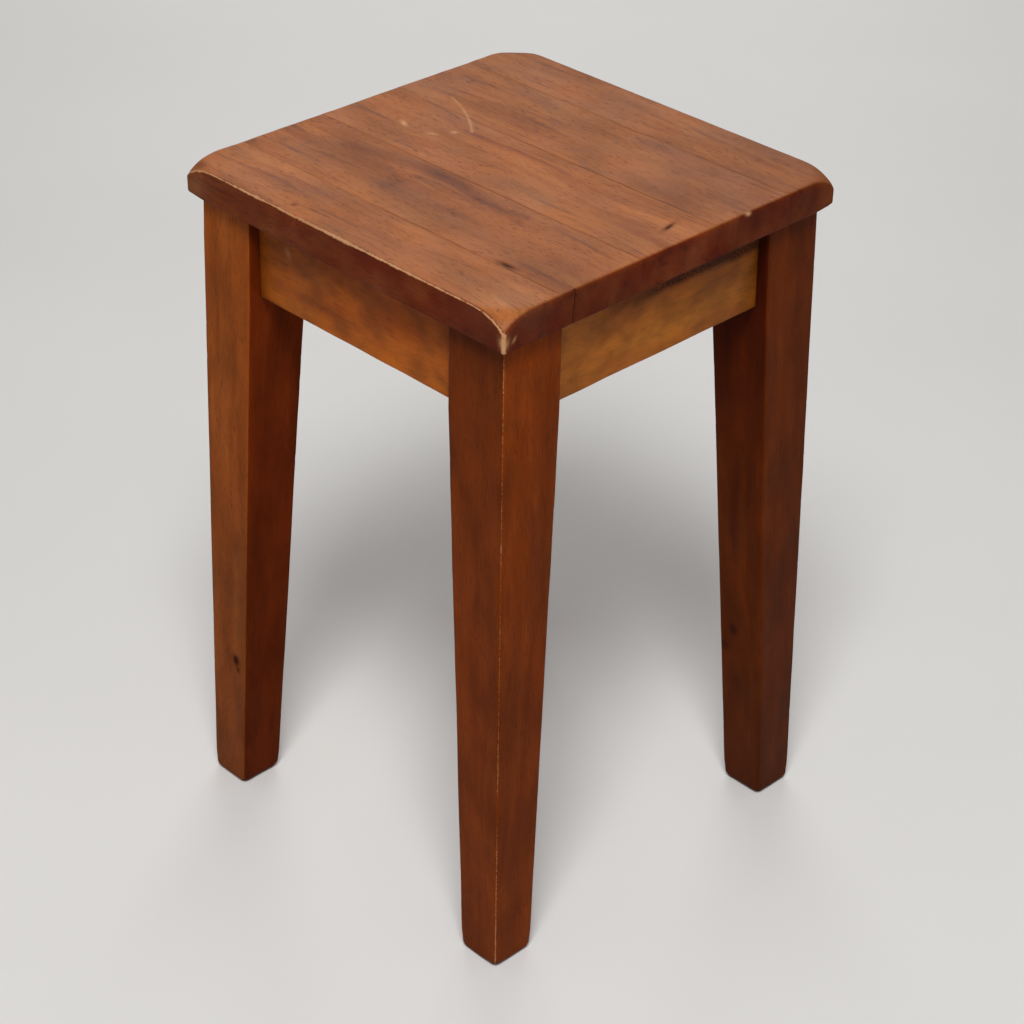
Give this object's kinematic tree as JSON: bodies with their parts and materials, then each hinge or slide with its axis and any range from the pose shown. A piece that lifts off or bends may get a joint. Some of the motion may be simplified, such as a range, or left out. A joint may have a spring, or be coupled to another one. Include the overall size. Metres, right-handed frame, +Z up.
{
  "type": "wooden stool",
  "caption": "Square wooden stool with splayed tapered legs, aprons tenoned into them and a seat of glued staves with rolled-over corners.",
  "frame": {"origin": "on the floor under the middle of the seat", "axes": "+Z up, -Y the front, +X to the right of someone facing the front apron from outside; the seat's grain runs along X"},
  "size_m": [0.2774, 0.2774, 0.45],
  "materials": {
    "seat_wood": "satin lacquer over reddish brown stain, worn pale along the edges",
    "leg_wood": "satin lacquer over dark reddish brown stain",
    "apron_wood": "satin lacquer over amber brown stain",
    "block_wood": "bare, fine-sawn and dry",
    "screw_steel": "dull, darkened with age"
  },
  "bodies": {
    "root": {"seat_stave_1": "seat_wood", "seat_stave_2": "seat_wood", "seat_stave_3": "seat_wood", "seat_stave_4": "seat_wood", "seat_stave_5": "seat_wood", "leg_front_left": "leg_wood", "leg_front_right": "leg_wood", "leg_back_left": "leg_wood", "leg_back_right": "leg_wood", "apron_front": "apron_wood", "apron_right": "apron_wood", "apron_back": "apron_wood", "apron_left": "apron_wood", "corner_block_front_left": "block_wood", "corner_block_front_right": "block_wood", "corner_block_back_left": "block_wood", "corner_block_back_right": "block_wood", "apron_screws": "screw_steel", "seat_screws": "screw_steel", "leg_screws": "screw_steel"}
  },
  "joints": []
}
